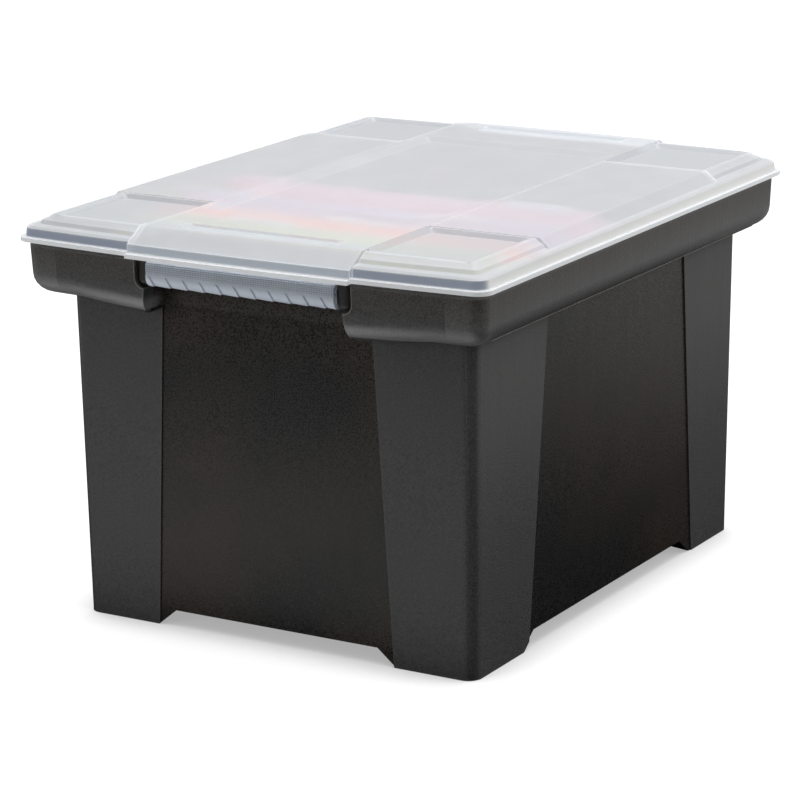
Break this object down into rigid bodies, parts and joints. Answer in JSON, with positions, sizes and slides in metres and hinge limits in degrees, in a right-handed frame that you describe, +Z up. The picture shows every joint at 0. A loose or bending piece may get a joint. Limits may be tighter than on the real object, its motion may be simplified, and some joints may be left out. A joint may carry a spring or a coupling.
{
  "type": "portable file box",
  "caption": "Black open-topped file tub on corner feet with a translucent snap lid, a grip handle at each short end and coloured hanging folders on its rails.",
  "frame": {"origin": "middle of the footprint, at the bottom of the feet", "axes": "+Z up, +Y along the long sides towards the rear handle, X across the short sides"},
  "size_m": [0.362, 0.4678, 0.2845],
  "materials": {
    "tub_plastic": "black polypropylene, fine grain on the legs, smoother on the sunken panels",
    "lid_plastic": "milky translucent polypropylene, satin",
    "handle_plastic": "black, smooth",
    "grip_rubber": "grey soft grip with a fine grid above and ribs below",
    "teal_folder": "stiff folder sheet",
    "yellow_folder": "stiff folder sheet",
    "red_folder": "stiff folder sheet",
    "violet_folder": "stiff folder sheet",
    "pink_folder": "stiff folder sheet",
    "rod_steel": "flat coated strip",
    "tab_plastic": "clear"
  },
  "bodies": {
    "tub": {"tub": "tub_plastic"},
    "lid": {"lid": "lid_plastic"},
    "front_handle": {"front_handle_frame": "handle_plastic", "front_handle_grip": "grip_rubber"},
    "rear_handle": {"rear_handle_frame": "handle_plastic", "rear_handle_grip": "grip_rubber"},
    "teal_folder": {"teal_folder_sleeve": "teal_folder", "teal_folder_rods": "rod_steel", "teal_folder_tab": "tab_plastic"},
    "yellow_folder": {"yellow_folder_sleeve": "yellow_folder", "yellow_folder_rods": "rod_steel", "yellow_folder_tab": "tab_plastic"},
    "red_folder": {"red_folder_sleeve": "red_folder", "red_folder_rods": "rod_steel", "red_folder_tab": "tab_plastic"},
    "violet_folder": {"violet_folder_sleeve": "violet_folder", "violet_folder_rods": "rod_steel", "violet_folder_tab": "tab_plastic"},
    "pink_folder": {"pink_folder_sleeve": "pink_folder", "pink_folder_rods": "rod_steel", "pink_folder_tab": "tab_plastic"}
  },
  "joints": [
    {"name": "lid_lift", "type": "slide", "parent": "tub", "child": "lid", "axis": [0, 0, 1], "range_m": [0, 0.2]},
    {"name": "front_handle_swing", "type": "hinge", "parent": "tub", "child": "front_handle", "pos_m": [0, -0.2186, 0.2508], "axis": [1, 0, 0], "range_deg": [0, 75]},
    {"name": "rear_handle_swing", "type": "hinge", "parent": "tub", "child": "rear_handle", "pos_m": [0, 0.2186, 0.2508], "axis": [-1, 0, 0], "range_deg": [0, 75]},
    {"name": "teal_folder_slide", "type": "slide", "parent": "tub", "child": "teal_folder", "axis": [0, 1, 0], "range_m": [-0.01, 0.01]},
    {"name": "yellow_folder_slide", "type": "slide", "parent": "tub", "child": "yellow_folder", "axis": [0, 1, 0], "range_m": [-0.01, 0.01]},
    {"name": "red_folder_slide", "type": "slide", "parent": "tub", "child": "red_folder", "axis": [0, 1, 0], "range_m": [-0.01, 0.01]},
    {"name": "violet_folder_slide", "type": "slide", "parent": "tub", "child": "violet_folder", "axis": [0, 1, 0], "range_m": [-0.01, 0.01]},
    {"name": "pink_folder_slide", "type": "slide", "parent": "tub", "child": "pink_folder", "axis": [0, 1, 0], "range_m": [-0.02, 0.15]}
  ]
}
